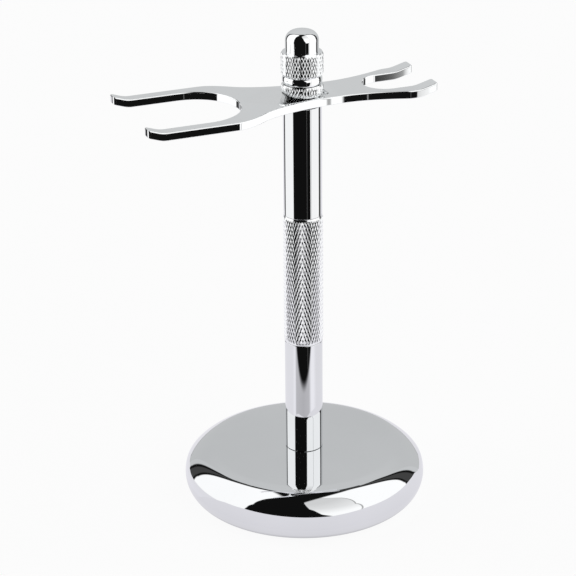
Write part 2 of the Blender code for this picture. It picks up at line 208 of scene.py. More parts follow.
def make_materials():
    """Every finish on the stand, by material slot."""
    return {
        "chrome": surface("polished_chrome", 1.0, (0.80, 0.81, 0.82), (0.84, 0.85, 0.86),
                          (0.012, 0.035), 22.0, (0.005, 0.0004), None, 140.0),
        "bright": surface("bright_chrome", 1.0, (0.92, 0.93, 0.935), (0.95, 0.96, 0.965),
                          (0.012, 0.035), 26.0, (0.005, 0.0004), None, 150.0),
        "knurl": surface("knurled_chrome", 1.0, (0.92, 0.93, 0.935), (0.95, 0.96, 0.965),
                         (0.09, 0.16), 60.0),
        "steel": surface("zinc_plated_steel", 1.0, (0.50, 0.51, 0.53), (0.62, 0.63, 0.64),
                         (0.24, 0.38), 180.0, (0.15, 0.0001), (2500.0, 0.2)),
        "iron": surface("cast_iron", 0.85, (0.10, 0.10, 0.105), (0.20, 0.195, 0.19),
                        (0.5, 0.75), 150.0, (0.4, 0.0004), (1400.0, 0.5)),
        "brass": surface("turned_brass", 1.0, (0.66, 0.47, 0.20), (0.78, 0.60, 0.30),
                         (0.18, 0.32), 120.0, (0.1, 0.0001), (1800.0, 0.12)),
        "nylon": surface("natural_nylon", 0.0, (0.76, 0.75, 0.70), (0.86, 0.85, 0.80),
                         (0.38, 0.52), 140.0, (0.1, 0.0001), (2200.0, 0.12)),
        "foam": surface("foam_rubber", 0.0, (0.022, 0.022, 0.024), (0.050, 0.050, 0.052),
                        (0.78, 0.95), 300.0, (0.4, 0.0003), (2600.0, 0.9)),
    }


# =========================================================================================
# Turned pieces
# =========================================================================================

def arc(centre, radii, start, end, steps):
    """Points of an elliptical arc in the profile plane, angles in degrees from +r."""
    angles = np.radians(np.linspace(start, end, steps + 1))
    return [(centre[0] + radii[0] * math.cos(a), centre[1] + radii[1] * math.sin(a))
            for a in angles]


def rounded_side(widest_radius, top, arcs, steps=14):
    """Profile from a flat top out to the widest point, as tangent arcs of (end tilt, radius)."""
    points, start = [(0.0, 0.0)], 0.0
    for end, size in arcs:
        reach, fall = points[-1]
        first = math.radians(start)
        for angle in np.radians(np.linspace(start, end, steps + 1))[1:]:
            points.append((reach + size * (math.sin(angle) - math.sin(first)),
                           fall - size * (math.cos(first) - math.cos(angle))))
        start = end
    inset = widest_radius - points[-1][0]
    return [(inset + r, top + z) for r, z in points]


def eased(points, radius, steps=4):
    """Round every inner corner of an open profile by radius, unless it turns very little."""
    count = len(points)
    result = []
    for i, point in enumerate(points):
        here = Vector(point)
        if i in (0, count - 1):
            result.append(tuple(here))
            continue
        before = Vector(points[i - 1]) - here
        after = Vector(points[i + 1]) - here
        turn = before.angle(-after, 0.0)
        if turn < SLIGHT_TURN:
            result.append(tuple(here))
            continue
        reach = radius * math.tan(turn / 2)
        reach = min(reach, before.length * 0.45, after.length * 0.45)
        size = reach / math.tan(turn / 2)
        a, b = before.normalized(), after.normalized()
        centre = here + (a + b).normalized() * (size / math.cos(turn / 2))
        start = here + a * reach - centre
        end = here + b * reach - centre
        for k in range(steps + 1):
            t = k / steps
            spoke = (start * math.sin((1 - t) * turn) + end * math.sin(t * turn)) / math.sin(turn)
            result.append(tuple(centre + spoke))
    return result


class Turned:
    """A solid of revolution, built row by row; a row's radius may vary round the piece."""

    def __init__(self, name, columns, closed):
        self.name = name
        self.columns = columns
        self.closed = closed
        self.radii = []
        self.heights = []
        self.cut = []                # True where the strip after this row is knurled

    def row(self, radius, height, knurled=False):
        self.radii.append(np.broadcast_to(np.asarray(radius, float), (self.columns,)).copy())
        self.heights.append(height)
        self.cut.append(knurled)

    def rows(self, points):
        for radius, height in points:
            self.row(radius, height)

    def knurl(self, radius, start_z, end_z, envelope, depth=BAND_KNURL_DEPTH):
        """Truncated diamonds between two heights; envelope(z) caps the radius near the ends."""
        quarter = KNURL_RISE / 4
        count = max(4, int(round(abs(end_z - start_z) / quarter / 4)) * 4)
        around = np.arange(self.columns) / 2.0
        for j in range(count + 1):
            height = start_z + (end_z - start_z) * j / count
            along = j / 2.0
            first = np.abs((around + along + 1.0) % 2.0 - 1.0)
            second = np.abs((around - along + 1.0) % 2.0 - 1.0)
            crest = np.minimum(1.0, 2.0 * np.minimum(first, second))
            shape = radius - depth * (1.0 - crest)
            shape = np.minimum(shape, envelope(height))
            self.row(shape, height, knurled=j < count)

    def profile_normals(self):
        """Outward (radial, axial) normals of each row, weighted by strip length.

        Knurled strips don't count.
        """
        r = np.array([row.mean() for row in self.radii])
        z = np.array(self.heights)
        count = len(r)
        total = np.zeros((count, 2))
        for i in range(count if self.closed else count - 1):
            j = (i + 1) % count
            if self.cut[i]:
                continue
            step = np.array([r[j] - r[i], z[j] - z[i]])
            normal = np.array([step[1], -step[0]])
            total[i] += normal
            total[j] += normal
        length = np.linalg.norm(total, axis=1)
        length[length == 0] = 1.0
        return total / length[:, None]

    def build(self, materials, knurl_slot=0):
        """The mesh object; the profile runs so that its outward side is on its right."""
        columns = self.columns
        angle = 2 * math.pi * np.arange(columns) / columns
        cos, sin = np.cos(angle), np.sin(angle)
        verts, first = [], []
        for radius, height in zip(self.radii, self.heights):
            first.append(len(verts))
            if radius.max() < 1e-7:
                verts.append((0.0, 0.0, height))
            else:
                verts += list(zip(radius * cos, radius * sin, np.full(columns, height)))
        verts = np.array(verts)
        normals2 = self.profile_normals()
        faces, flat, owner = [], [], []
        count = len(self.radii)
        for i in range(count if self.closed else count - 1):
            j = (i + 1) % count
            tip_i, tip_j = self.radii[i].max() < 1e-7, self.radii[j].max() < 1e-7
            for k in range(columns):
                m = (k + 1) % columns
                a, b = first[i] + (0 if tip_i else k), first[i] + (0 if tip_i else m)
                c, d = first[j] + (0 if tip_j else m), first[j] + (0 if tip_j else k)
                if tip_i:
                    faces.append((a, c, d))
                elif tip_j:
                    faces.append((a, b, c))
                elif self.cut[i]:
                    if (k // 2 + (i - self.knurl_start(i)) // 2) % 2 == 0:
                        faces += [(a, b, c), (a, c, d)]
                    else:
                        faces += [(a, b, d), (b, c, d)]
                    flat += [True, True]
                    owner += [(i, j), (i, j)]
                    continue
                else:
                    faces.append((a, b, c, d))
                flat.append(False)
                owner.append((i, j))
        mesh = bpy.data.meshes.new(self.name)
        mesh.from_pydata([tuple(v) for v in verts], [], faces)
        mesh.update()
        row_of = np.zeros(len(verts), int)
        column_of = np.zeros(len(verts), int)
        for i, start in enumerate(first):
            stop = first[i + 1] if i + 1 < count else len(verts)
            row_of[start:stop] = i
            column_of[start:stop] = np.arange(stop - start)
        radial = normals2[row_of]
        vertex_normals = np.stack([radial[:, 0] * cos[column_of], radial[:, 0] * sin[column_of],
                                   radial[:, 1]], -1)
        loops = []
        for polygon, is_flat in zip(mesh.polygons, flat):
            if is_flat:
                loops += [tuple(polygon.normal)] * len(polygon.vertices)
            else:
                loops += [tuple(vertex_normals[v]) for v in polygon.vertices]
        mesh.shade_smooth()
        mesh.normals_split_custom_set(loops)
        for mat in materials:
            mesh.materials.append(mat)
        if len(materials) > 1:
            for polygon, is_flat in zip(mesh.polygons, flat):
                polygon.material_index = knurl_slot if is_flat else 0
        obj = bpy.data.objects.new(self.name, mesh)
        bpy.context.scene.collection.objects.link(obj)
        return obj

    def knurl_start(self, row):
        """The first row of the knurled stretch that this row is in."""
        while row > 0 and self.cut[row - 1]:
            row -= 1
        return row


def stand_in_place(piece, body, node):
    """The piece shows instead of its CAD node and moves with its body."""
    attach(piece, body)
    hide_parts(node)


def knurl_columns(radius):
    """Columns round a knurled piece: four to a crest."""
    return 4 * int(round(2 * math.pi * radius / KNURL_PITCH))


def make_base(materials):
    """Round die-cast foot: flat top, full round side, recess for the pad underneath."""
    shell = Turned("base_shell_polished", 256, closed=True)
    top, radius, bottom = BASE_HIGH.z, BASE_HIGH.x, BASE_LOW.z
    recess, cavity = 32.6 * MM, 31.0 * MM
    ledge, roof = 2.1 * MM, 12.0 * MM
    hole = SCREW_HOLE_RADIUS
    upper = rounded_side(radius, top, BASE_ARCS)[::-1]
    widest_z = upper[0][1]
    lower = arc((BASE_RIM_RADIUS, widest_z),
                (radius - BASE_RIM_RADIUS, widest_z - bottom), -90, 0, 24)
    under = [(hole, roof), (cavity, roof), (cavity, ledge), (recess, ledge), (recess, bottom)]
    under = eased(under, 0.25 * MM)[1:]
    shell.rows([(hole, roof)] + under[:-1] + [(recess, bottom)])
    shell.rows(lower[:-1])
    shell.rows(upper)
    shell.rows([(hole + 0.2 * MM, top), (hole, top - 0.2 * MM)])
    stand_in_place(shell.build([materials["chrome"]]), "stand", "base_shell")


def drill(radius, mouth_z, depth, upwards):
    """Profile of a blind drilled hole, from its tip on the axis to its mouth."""
    sign = 1.0 if upwards else -1.0
    end = mouth_z + sign * depth
    return [(0.0, end + sign * radius * 0.6), (radius, end), (radius, mouth_z)]


def make_post(name, node, low, high, holes, materials):
    """A plain polished length of the post, drilled at both ends."""
    post = Turned(name, 160, closed=False)
    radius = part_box(node)[1].x
    inner = drill(holes[0], low, 9.0 * MM, True)
    outer = drill(holes[1], high, 9.0 * MM, False)
    profile = inner + [(radius, low), (radius, high)] + outer[::-1]
    post.rows(eased(profile, 0.14 * MM))
    stand_in_place(post.build([materials["chrome"]]), "stand", node)


def make_grip(materials):
    """The knurled length, with a short cone at each end."""
    radius = GRIP_HIGH.x
    post_radius = UPPER_HIGH.x
    low, high = GRIP_LOW.z - 2 * SEAM, GRIP_HIGH.z + 2 * SEAM
    corner = 0.1 * MM

    def envelope(z):
        inset = min(z - GRIP_LOW.z, GRIP_HIGH.z - z)
        return post_radius + (radius - post_radius) * min(1.0, max(0.0, inset) / GRIP_LEAD)

    grip = Turned("knurled_grip_cut", knurl_columns(radius), closed=True)
    grip.rows([(STUD_HOLE_RADIUS, low), (post_radius - corner, low), (post_radius, low + corner)])
    grip.row(post_radius, GRIP_LOW.z + 0.25 * GRIP_LEAD)
    grip.knurl(radius, GRIP_LOW.z + 0.45 * GRIP_LEAD, GRIP_HIGH.z - 0.45 * GRIP_LEAD, envelope,
               depth=GRIP_KNURL_DEPTH)
    grip.row(post_radius, GRIP_HIGH.z - 0.25 * GRIP_LEAD)
    grip.rows([(post_radius, high - corner), (post_radius - corner, high),
               (STUD_HOLE_RADIUS, high)])
    stand_in_place(grip.build([materials["knurl"]]), "stand", "knurled_grip")


def make_collar(materials):
    """Knurled pressure collar: the band that stands on the plate."""
    radius = COLLAR_HIGH.x
    low, high = PLATE_TOP_Z + SEAM, COLLAR_HIGH.z
    ease = 0.28 * MM

    def envelope(z):
        inset = max(0.0, min(z - low, high - z))
        return radius - ease + min(ease, inset)

    collar = Turned("pressure_collar_cut", knurl_columns(radius), closed=True)
    bore, well, web = 4.3 * MM, 5.6 * MM, 142.9 * MM
    collar.rows(eased([(bore, high), (bore, web), (well, web), (well, low),
                       (radius - ease, low)], 0.12 * MM))
    collar.knurl(radius, low + 0.02 * MM, high - 0.02 * MM, envelope)
    collar.row(radius - ease, high)
    stand_in_place(collar.build([materials["knurl"]]), "collar", "pressure_collar")


def make_finial(materials):
    """Bead, knurled band and round nose, turned in one piece."""
    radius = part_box("finial")[1].x
    ease = 0.32 * MM
    neck = 6.0 * MM
    bead_radius = 6.35 * MM
    bore, bore_top = 4.3 * MM, 152.2 * MM
    low = FINIAL_LOW.z - 0.27 * MM
    bead_low, bead_high = low + 0.14 * MM, BEAD_TOP_Z - 0.34 * MM
    bead_mid = (bead_low + bead_high) / 2

    def envelope(z):
        inset = max(0.0, min(z - BEAD_TOP_Z, BAND_TOP_Z - z))
        return radius - ease + min(ease, inset)

    finial = Turned("finial_turned", knurl_columns(radius), closed=False)
    finial.rows([(0.0, bore_top), (bore, bore_top), (bore, low)])
    finial.rows(eased([(neck, low), (neck, bead_low)], 0.05 * MM))
    finial.rows(arc((neck, bead_mid), (bead_radius - neck, (bead_high - bead_low) / 2),
                    -80, 80, 12))
    finial.rows([(neck, BEAD_TOP_Z - 0.02 * MM), (radius - ease, BEAD_TOP_Z)])
    finial.knurl(radius, BEAD_TOP_Z + 0.02 * MM, BAND_TOP_Z - 0.02 * MM, envelope)
    lean = math.sin(math.radians(DOME_CROWN[0]))
    shoulder = (DOME_RADIUS - DOME_CROWN[1] * lean) / (1.0 - lean)
    nose = rounded_side(DOME_RADIUS, FINIAL_HIGH.z, (DOME_CROWN, (90.0, shoulder)), 20)
    foot = [(radius - ease, BAND_TOP_Z), (DOME_RADIUS, BAND_TOP_Z), nose[-1]]
    finial.rows(eased(foot, 0.12 * MM)[:-1])
    finial.rows(nose[:0:-1] + [(0.0, FINIAL_HIGH.z)])
    stand_in_place(finial.build([materials["bright"], materials["knurl"]], 1), "finial", "finial")


# =========================================================================================
# The fork plate
# =========================================================================================

BRUSH_TIP_X, RAZOR_TIP_X = PLATE_LOW.x, PLATE_HIGH.x
BRUSH_HALF_WIDTH, RAZOR_HALF_WIDTH = PLATE_HIGH.y, 12.2 * MM
BRUSH_SLOT_RADIUS, BRUSH_SLOT_END_X = 14.85 * MM, -36.3 * MM
RAZOR_SLOT_RADIUS, RAZOR_SLOT_END_X = 7.2 * MM, 28.2 * MM
TIP_RADIUS = 0.9 * MM
EDGE_RADIUS = 0.42 * MM         # eased upper edge
LOWER_EDGE_RADIUS = 0.2 * MM
SWIVEL_HOLE_RADIUS = 3.85 * MM
LIPS = ((-1.0, 51.2 * MM, 0.33), (1.0, 34.0 * MM, 0.27))    # side, where the bend starts, slope
BEND_LENGTH = 3.0 * MM
HOLE_STEPS = 64
# the outer edge's curve in mm: (knot, handle before it, handle after it)
FLANK_KNOTS = (((-28.5, 18.8), (-31.0, 18.8), (-23.4, 18.8)),
               ((-16.0, 13.1), (-19.5, 14.95), (-9.5, 9.7)),
               ((12.0, 7.65), (1.0, 7.65), (19.0, 7.65)),
               ((31.0, 11.75), (26.8, 10.2), (32.1, 12.15)),
               ((34.3, 12.2), (33.2, 12.2), (36.0, 12.2)))


def tine_lift(x):
    """(height, slope) of the bent-up tine ends at x."""
    for side, start, slope in LIPS:
        past = side * x - start
        if past > 0.0:
            if past < BEND_LENGTH:
                return slope * past * past / (2 * BEND_LENGTH), side * slope * past / BEND_LENGTH
            return slope * (past - BEND_LENGTH / 2), side * slope
    return 0.0, 0.0


def quarter_turn(corner, before, after, steps=8):
    """A corner of the plan, rounded; before and after point from it along the two sides."""
    centre = corner + (before + after) * TIP_RADIUS
    angles = np.linspace(0, math.pi / 2, steps + 1)
    return [centre - after * TIP_RADIUS * math.cos(a) - before * TIP_RADIUS * math.sin(a)
            for a in angles]


def flank():
    """The outer edge on the +Y side between the two forks, through the waist."""
    points = []
    for (start, _, leave), (end, arrive, _) in zip(FLANK_KNOTS, FLANK_KNOTS[1:]):
        handles = [Vector((*p, 0.0)) * MM for p in (start, leave, arrive, end)]
        points += interpolate_bezier(*handles, 28)[:-1]
    return points + [Vector((*FLANK_KNOTS[-1][0], 0.0)) * MM]


def lip_stations(side, start, tip):
    """Where a tine is cut across, so that its end can bend smoothly."""
    steps = [start + BEND_LENGTH * i / 6 for i in range(7)]
    return [side * s for s in steps + [start + BEND_LENGTH + 1.0 * MM] if s < abs(tip) - TIP_RADIUS]


def straight(xs, y):
    """Points at these places along a side."""
    return [Vector((x, y, 0.0)) for x in xs]


def slot_end(centre_x, radius, towards, steps):
    """A slot's round end from its +Y wall to the long axis."""
    angles = np.linspace(math.pi / 2, 0, steps + 1)
    return [Vector((centre_x + towards * radius * math.cos(a), radius * math.sin(a), 0.0))
            for a in angles]


def plate_half():
    """The outline on the +Y side, from the brush slot's bottom round to the razor slot's bottom."""
    right, left = Vector((1, 0, 0)), Vector((-1, 0, 0))
    up, down = Vector((0, 1, 0)), Vector((0, -1, 0))
    brush = lip_stations(*LIPS[0][:2], BRUSH_TIP_X)
    razor = lip_stations(*LIPS[1][:2], RAZOR_TIP_X)
    points = slot_end(BRUSH_SLOT_END_X, BRUSH_SLOT_RADIUS, 1.0, 36)[::-1]
    points += straight(brush, BRUSH_SLOT_RADIUS)
    points += quarter_turn(Vector((BRUSH_TIP_X, BRUSH_SLOT_RADIUS, 0)), right, up)
    points += quarter_turn(Vector((BRUSH_TIP_X, BRUSH_HALF_WIDTH, 0)), down, right)
    points += straight(brush[::-1], BRUSH_HALF_WIDTH)
    points += flank()
    points += straight([x for x in razor if x > (FLANK_KNOTS[-1][0][0] + 0.1) * MM],
                       RAZOR_HALF_WIDTH)
    points += quarter_turn(Vector((RAZOR_TIP_X, RAZOR_HALF_WIDTH, 0)), left, down)
    points += quarter_turn(Vector((RAZOR_TIP_X, RAZOR_SLOT_RADIUS, 0)), up, left)
    points += straight(razor[::-1], RAZOR_SLOT_RADIUS)
    points += slot_end(RAZOR_SLOT_END_X, RAZOR_SLOT_RADIUS, -1.0, 24)
    return points


def outline_normals(points):
    """Outward plan normals of a closed clockwise outline, weighted by side length."""
    loop = np.array([(p.x, p.y) for p in points])
    ahead = np.roll(loop, -1, axis=0) - loop
    side = np.stack([-ahead[:, 1], ahead[:, 0]], -1)
    total = side + np.roll(side, 1, axis=0)
    return loop, total / np.linalg.norm(total, axis=1)[:, None]


def make_plate(materials):
    """Flat plate with two forks, eased edges and bent-up tine ends, with exact normals."""
    half = plate_half()
    points = half + [Vector((p.x, -p.y, 0.0)) for p in reversed(half[1:-1])]
    loop, outward = outline_normals(points)
    top, bottom = PLATE_TOP_Z, PLATE_TOP_Z - PLATE_THICKNESS
    rings = []                  # (inset, height, outward part and upward part of the normal)
    for a in np.radians(np.linspace(90, 0, 7)):
        rings.append((EDGE_RADIUS * (1 - math.cos(a)), top - EDGE_RADIUS * (1 - math.sin(a)),
                      math.cos(a), math.sin(a)))
    for a in np.radians(np.linspace(0, -90, 5)):
        rings.append((LOWER_EDGE_RADIUS * (1 - math.cos(a)),
                      bottom + LOWER_EDGE_RADIUS * (1 + math.sin(a)), math.cos(a), math.sin(a)))
    count = len(loop)
    verts, normals, faces = [], [], []
    for inset, height, out, up in rings:
        for (x, y), (nx, ny) in zip(loop, outward):
            verts.append((x - nx * inset, y - ny * inset, height))
            normals.append((nx * out, ny * out, up))
    for k in range(len(rings) - 1):
        for i in range(count):
            j = (i + 1) % count
            faces.append((k * count + i, k * count + j, (k + 1) * count + j, (k + 1) * count + i))
    hole = [(SWIVEL_HOLE_RADIUS * math.cos(a), SWIVEL_HOLE_RADIUS * math.sin(a))
            for a in 2 * math.pi * np.arange(HOLE_STEPS) / HOLE_STEPS]
    for start, height, up in ((0, top, 1.0), ((len(rings) - 1) * count, bottom, -1.0)):
        rim = [Vector(verts[start + i][:2]) for i in range(count)]
        plan = rim + [Vector(p) for p in hole]
        edges = [(i, (i + 1) % count) for i in range(count)]
        edges += [(count + i, count + (i + 1) % HOLE_STEPS) for i in range(HOLE_STEPS)]
        stations = [s for side, begin, _ in LIPS
                    for s in lip_stations(side, begin, BRUSH_TIP_X if side < 0 else RAZOR_TIP_X)]
        for s in stations:
            for sign in (1, -1):
                ends = [i for i in range(count) if abs(rim[i].x - s) < 1e-6 and rim[i].y * sign > 0]
                if len(ends) == 2:
                    edges.append(tuple(ends))
        out_verts, _, out_faces, source, _, _ = delaunay_2d_cdt(plan, edges, [], 1, 1e-7)
        index = {}
        for v, origins in enumerate(source):
            old = origins[0]
            if old < count:
                index[v] = start + old
            else:
                index[v] = len(verts)
                verts.append((*hole[old - count], height))
                normals.append((0.0, 0.0, up))
        for face in out_faces:
            centre = sum((out_verts[v] for v in face), Vector((0, 0))) / 3
            if centre.length < SWIVEL_HOLE_RADIUS * 0.99:
                continue
            mapped = [index[v] for v in face]
            faces.append(tuple(mapped if up > 0 else mapped[::-1]))
    # the hole's wall: its upper and lower edges are the last vertices, each put in order
    rims = []
    for start in (len(verts) - 2 * HOLE_STEPS, len(verts) - HOLE_STEPS):
        rims.append(sorted(range(start, start + HOLE_STEPS),
                           key=lambda v: math.atan2(verts[v][1], verts[v][0])))
    above, below = rims
    hole_faces = []
    for k in range(HOLE_STEPS):
        m = (k + 1) % HOLE_STEPS
        hole_faces.append((above[k], above[m], below[m], below[k]))
    plate = bpy.data.meshes.new("fork_plate_polished")
    bent, tilted = [], []
    for (x, y, z), (nx, ny, nz) in zip(verts, normals):
        lift, slope = tine_lift(x)
        bent.append((x, y, z + lift))
        tilted.append(Vector((nx - slope * nz, ny, nz)).normalized())
    plate.from_pydata(bent, [], faces + hole_faces)
    plate.update()
    first_hole = len(faces)
    loops = []
    for polygon in plate.polygons:
        for v in polygon.vertices:
            if polygon.index >= first_hole:
                x, y, _ = bent[v]
                loops.append(tuple(Vector((-x, -y, 0.0)).normalized()))
            else:
                loops.append(tuple(tilted[v]))
    plate.shade_smooth()
    plate.normals_split_custom_set(loops)
    plate.materials.append(materials["bright"])
    obj = bpy.data.objects.new("fork_plate_polished", plate)
    bpy.context.scene.collection.objects.link(obj)
    stand_in_place(obj, "fork", "fork_plate")


# =========================================================================================
# Hidden pieces keep their CAD shape and get their finish
# =========================================================================================

def finish_cad_nodes(materials):
    """A finish for every CAD piece that is shown as it is."""
    finishes = {"foot_pad": "foam", "base_ballast": "iron", "fork_bush": "nylon",
                "finial_insert": "brass", "base_screw": "steel", "flat_washer": "steel",
                "lock_washer": "steel", "joint_stud_lower": "steel",
                "joint_stud_upper": "steel", "top_stud": "steel", "collar_clip": "steel"}
    for node, finish in finishes.items():
        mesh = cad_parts[node].data
        mesh.materials.clear()
        mesh.materials.append(materials[finish])


# =========================================================================================
# Studio
# =========================================================================================

def make_world():
    """Studio surroundings as seen in the polished metal.

    Two large white side panels stand in front of a pale backdrop, with a dark opening between
    them where the photographer stands. Angles are in degrees; azimuth 0 is the opening.
    """
    world = bpy.data.worlds.new("studio")
    bpy.context.scene.world = world
    world.use_nodes = True
    n = Nodes(world.node_tree)
    out = n.add("ShaderNodeOutputWorld")
    background = n.add("ShaderNodeBackground")
    n.link(background.outputs[0], out.inputs["Surface"])
    direction = n.add("ShaderNodeTexCoord").outputs["Generated"]
    turn = n.add("ShaderNodeVectorRotate", rotation_type="Z_AXIS")
    n.link(direction, turn.inputs["Vector"])
    turn.inputs["Angle"].default_value = math.radians(-VIEW_AZIMUTH_DEG)
    parts = n.add("ShaderNodeSeparateXYZ")
    n.link(turn.outputs[0], parts.inputs[0])
    x, y, z = parts.outputs
    degrees = 180.0 / math.pi
    azimuth = n.math("MULTIPLY", n.math("ARCTAN2", x, n.math("MULTIPLY", y, -1.0)), degrees)
    elevation = n.math("MULTIPLY", n.math("ARCSINE", z), degrees)

    def edge(points):
        """Azimuth of an edge at this elevation."""
        total = points[0][1]
        for (low, start), (high, end) in zip(points, points[1:]):
            total = n.math("ADD", n.remap(elevation, low, high, 0.0, end - start), total)
        return total

    def right_of(line, soft=0.8):
        return n.remap(n.math("SUBTRACT", azimuth, line), -soft, soft, 0.0, 1.0, True)

    def below_top(bearing, steepness):
        """1 below the straight top edge of a panel that faces this way."""
        bearing = math.radians(bearing)
        ahead = n.math("ADD", n.math("MULTIPLY", x, math.sin(bearing)),
                       n.math("MULTIPLY", y, -math.cos(bearing)))
        rise = n.math("SUBTRACT", n.math("MULTIPLY", ahead, steepness), z)
        return n.remap(rise, -0.15, 0.15, 0.0, 1.0, True)

    def band(near, far):
        return n.math("SUBTRACT", right_of(near), right_of(far))

    left_inner, left_outer, left_far = edge(LEFT_INNER), edge(LEFT_OUTER), edge(LEFT_FAR)
    right_inner, right_outer, right_far = edge(RIGHT_INNER), edge(RIGHT_OUTER), edge(RIGHT_FAR)
    left_panel = n.math("MULTIPLY", band(left_outer, left_inner), below_top(-80.0, 5.6))
    right_panel = n.math("MULTIPLY", band(right_inner, right_outer), below_top(55.0, 8.0))
    # the sheet hides the right-hand panel's forward part below the horizon
    low = n.remap(elevation, -3.0, -1.0, 1.0, 0.0)
    hidden = n.math("MULTIPLY", low, band(right_inner, 47.0))
    right_panel = n.math("SUBTRACT", right_panel, n.math("MULTIPLY", right_panel, hidden))
    joint = n.math("ABSOLUTE", n.math("SUBTRACT", azimuth, edge(RIGHT_SEAM)))
    joint = n.remap(joint, 0.4, 1.4, 0.0, 1.0, True)
    right_panel = n.math("MULTIPLY", right_panel, n.remap(joint, 0.0, 1.0, 0.38, 1.0))
    # its forward flap greys towards the top
    flap = n.math("MULTIPLY", band(right_inner, edge(RIGHT_SEAM)),
                  n.remap(elevation, 30.0, 72.0, 0.0, 0.36))
    right_panel = n.math("MULTIPLY", right_panel, n.math("SUBTRACT", 1.0, flap))
    panels = n.math("ADD", left_panel, right_panel)
    ceiling = n.remap(elevation, 70.5, 73.0, 0.0, 1.0, True)
    behind = n.math("ADD", n.math("SUBTRACT", 1.0, right_of(left_far)), right_of(right_far))
    backdrop = n.math("MULTIPLY", behind, n.math("SUBTRACT", 1.0, ceiling))
    # grey walls in the two gaps, with dark borders
    gaps = n.math("ADD", band(n.math("ADD", left_far, 3.0), n.math("SUBTRACT", left_outer, 3.0)),
                  band(n.math("ADD", right_outer, 3.0), n.math("SUBTRACT", right_far, 3.0)))
    height = n.remap(elevation, -90.0, 90.0, 0.0, 1.0)
    pale = n.ramp(height, ((0.0, (0.90, 0.89, 0.93)), (0.49, (0.86, 0.85, 0.89)),
                           (0.50, (0.63, 0.64, 0.65)), (1.0, (0.63, 0.64, 0.65))))
    glow = n.add("ShaderNodeVectorMath", operation="SCALE")
    n.link(pale, glow.inputs[0])
    n.link(backdrop, glow.inputs["Scale"])
    bright = n.remap(elevation, -3.0, 3.0, PANEL_LOW, PANEL_HIGH)
    grey = n.math("MULTIPLY", gaps, n.math("SUBTRACT", 1.0, ceiling))
    white = n.math("ADD", n.math("MULTIPLY", panels, bright),
                   n.math("MULTIPLY", grey, GAP_GREY))
    level = n.add("ShaderNodeCombineXYZ")
    for socket in level.inputs:
        n.link(n.math("ADD", white, OPENING_GREY), socket)
    total = n.add("ShaderNodeVectorMath", operation="ADD")
    n.link(glow.outputs[0], total.inputs[0])
    n.link(level.outputs[0], total.inputs[1])
    n.link(total.outputs[0], background.inputs["Color"])
    background.inputs["Strength"].default_value = 1.0


def stage_mesh(name, verts, faces, mat):
    """A piece of the studio, which belongs to no body."""
    mesh = bpy.data.meshes.new(name)
    mesh.from_pydata(verts, [], faces)
    mesh.materials.append(mat)
    obj = bpy.data.objects.new(name, mesh)
    bpy.context.scene.collection.objects.link(obj)
    return obj


def only_seen_by(obj, *rays):
    """Hide a stage piece from every kind of ray but these."""
    for ray in ("camera", "diffuse", "glossy", "transmission", "volume_scatter", "shadow"):
        setattr(obj, "visible_" + ray, ray in rays)


def emission(name, strength):
    """An emission material, with its node helper, its shader and its output."""
    mat = bpy.data.materials.new(name)
    mat.use_nodes = True
    n = Nodes(mat.node_tree)
    out = n.add("ShaderNodeOutputMaterial")
    glow = n.add("ShaderNodeEmission")
    glow.inputs["Color"].default_value = (1.0, 1.0, 1.0, 1.0)
    glow.inputs["Strength"].default_value = strength
    n.link(glow.outputs[0], out.inputs["Surface"])
    return mat, n, glow, out


def view_turned(x, y, z):
    """A point given as right, behind and up, in world coordinates."""
    return Matrix.Rotation(math.radians(VIEW_AZIMUTH_DEG), 3, "Z") @ Vector((x, y, z))


def make_floor():
    """The plain pale floor that the camera sees."""
    mat, n, glow, out = emission("pale_floor", 1.01)
    mix = n.add("ShaderNodeMixShader")
    mix.inputs[0].default_value = 0.09
    matte = n.add("ShaderNodeBsdfDiffuse")
    matte.inputs["Color"].default_value = (0.9, 0.9, 0.9, 1.0)
    n.link(glow.outputs[0], mix.inputs[1])
    n.link(matte.outputs[0], mix.inputs[2])
    n.link(mix.outputs[0], out.inputs["Surface"])
    points = [view_turned(FLOOR_RADIUS * math.cos(a), FLOOR_RADIUS * math.sin(a), 0.0)
              for a in 2 * math.pi * np.arange(96) / 96]
    floor = stage_mesh("studio_floor", points, [list(range(len(points)))], mat)
    floor.visible_glossy = False


